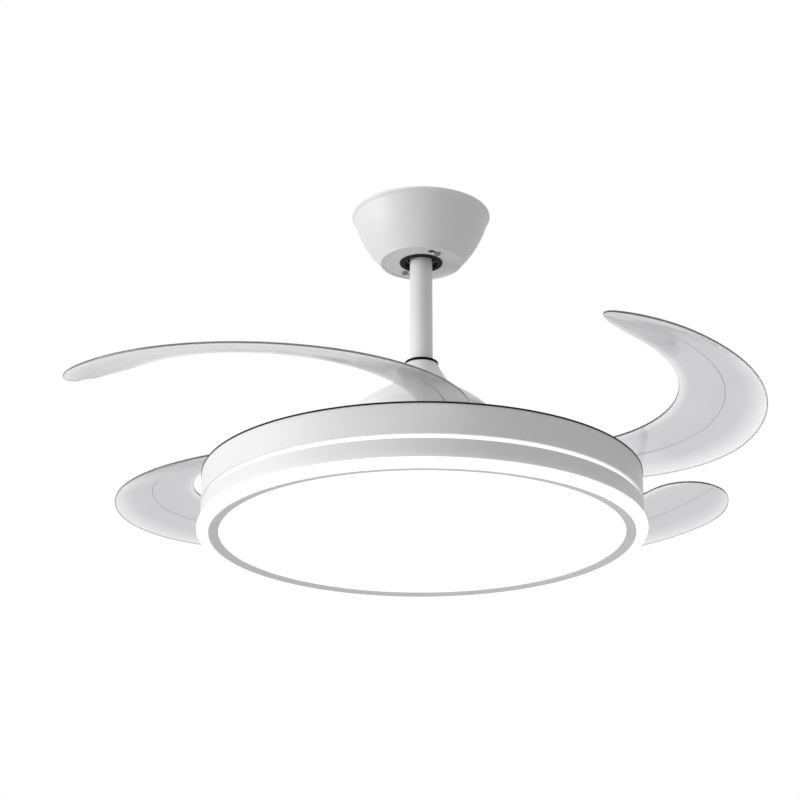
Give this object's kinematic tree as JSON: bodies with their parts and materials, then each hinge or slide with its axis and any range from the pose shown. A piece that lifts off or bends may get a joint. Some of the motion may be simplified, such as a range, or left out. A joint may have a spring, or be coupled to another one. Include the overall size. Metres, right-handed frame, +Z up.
{
  "type": "ceiling fan",
  "caption": "Ceiling fan with a round lamp, a short rod with a bowl canopy, and clear sickle blades that swing out on pins and fold in over the lamp.",
  "frame": {"origin": "middle of the hanger bracket's top face, on the ceiling plane and on the rod's axis", "axes": "+Z up along the rod, -Y towards the viewer in the picture, +X to the viewer's right"},
  "size_m": [0.7444, 0.7444, 0.3962],
  "materials": {
    "white_paint": "satin powder coat",
    "black_rubber": "matte",
    "black_plastic": "moulded",
    "zinc_steel": "zinc plated",
    "core_steel": "laminated",
    "magnet": "sintered",
    "copper": "enamelled wire",
    "nylon": "moulded",
    "clear_acrylic": "clear, polished",
    "lit_acrylic": "opal, lit from within",
    "grey_trim": "satin",
    "panel_white": "moulded",
    "panel_alloy": "white solder mask",
    "led_yellow": "phosphor"
  },
  "bodies": {
    "ceiling_mount": {"hanger_bracket": "zinc_steel", "canopy": "white_paint", "canopy_collar": "black_rubber", "canopy_screws": "zinc_steel", "remote_receiver": "black_plastic", "terminal_block": "nylon"},
    "hanging_frame": {"hanger_ball": "black_plastic", "ball_pin": "zinc_steel", "downrod": "white_paint", "rod_coupling": "zinc_steel", "coupling_pin": "zinc_steel", "grub_screws": "zinc_steel", "bell_cover": "white_paint", "bell_seal": "black_rubber", "motor_shaft": "zinc_steel", "stator_core": "core_steel", "stator_coils": "copper", "upper_bearing": "zinc_steel", "lower_bearing": "zinc_steel", "lamp_pan": "white_paint", "top_trim": "black_plastic", "halo_ring": "lit_acrylic", "lower_band": "white_paint", "rim_light": "lit_acrylic", "trim_ring": "grey_trim", "diffuser": "lit_acrylic", "led_panel": "panel_alloy", "led_chips": "led_yellow", "led_driver": "panel_white", "panel_posts": "zinc_steel", "lamp_washer": "zinc_steel", "lamp_nut": "zinc_steel", "shaft_collar": "zinc_steel"},
    "rotor": {"motor_upper_case": "white_paint", "motor_lower_case": "white_paint", "rotor_magnets": "magnet", "hub_lower_plate": "white_paint", "hub_upper_plate": "white_paint", "hub_screws": "zinc_steel", "pivot_posts": "zinc_steel", "post_spacers": "zinc_steel", "return_springs": "zinc_steel"},
    "synchroniser": {"sync_ring": "nylon"},
    "blade_arm_1": {"blade_1": "clear_acrylic", "blade_gear_1": "nylon", "blade_bush_1": "zinc_steel"},
    "blade_arm_2": {"blade_2": "clear_acrylic", "blade_gear_2": "nylon", "blade_bush_2": "zinc_steel"},
    "blade_arm_3": {"blade_3": "clear_acrylic", "blade_gear_3": "nylon", "blade_bush_3": "zinc_steel"},
    "blade_arm_4": {"blade_4": "clear_acrylic", "blade_gear_4": "nylon", "blade_bush_4": "zinc_steel"}
  },
  "joints": [
    {"name": "hang_swing", "type": "hinge", "parent": "ceiling_mount", "child": "hanging_frame", "pos_m": [0, 0, -0.038], "axis": [1, 0, 0], "range_deg": [-8, 8]},
    {"name": "rotor_spin", "type": "hinge", "parent": "hanging_frame", "child": "rotor", "pos_m": [0, 0, -0.3], "axis": [0, 0, 1], "continuous": true},
    {"name": "blade_1_fold", "type": "hinge", "parent": "rotor", "child": "blade_arm_1", "pos_m": [0.11545, -0.03275, -0.293], "axis": [0, 0, -1], "range_deg": [0, 107]},
    {"name": "blade_2_fold", "type": "hinge", "parent": "rotor", "child": "blade_arm_2", "pos_m": [0.03275, 0.11545, -0.293], "axis": [0, 0, -1], "range_deg": [0, 107]},
    {"name": "blade_3_fold", "type": "hinge", "parent": "rotor", "child": "blade_arm_3", "pos_m": [-0.11545, 0.03275, -0.293], "axis": [0, 0, -1], "range_deg": [0, 107]},
    {"name": "blade_4_fold", "type": "hinge", "parent": "rotor", "child": "blade_arm_4", "pos_m": [-0.03275, -0.11545, -0.293], "axis": [0, 0, -1], "range_deg": [0, 107]},
    {"name": "ring_turn", "type": "hinge", "parent": "rotor", "child": "synchroniser", "pos_m": [0, 0, -0.301], "axis": [0, 0, 1], "range_deg": [0, 26.8]}
  ],
  "couplings": [
    {"joint": "blade_2_fold", "follows": "blade_1_fold", "ratio": 1},
    {"joint": "blade_3_fold", "follows": "blade_1_fold", "ratio": 1},
    {"joint": "blade_4_fold", "follows": "blade_1_fold", "ratio": 1},
    {"joint": "ring_turn", "follows": "blade_1_fold", "ratio": 0.25}
  ]
}
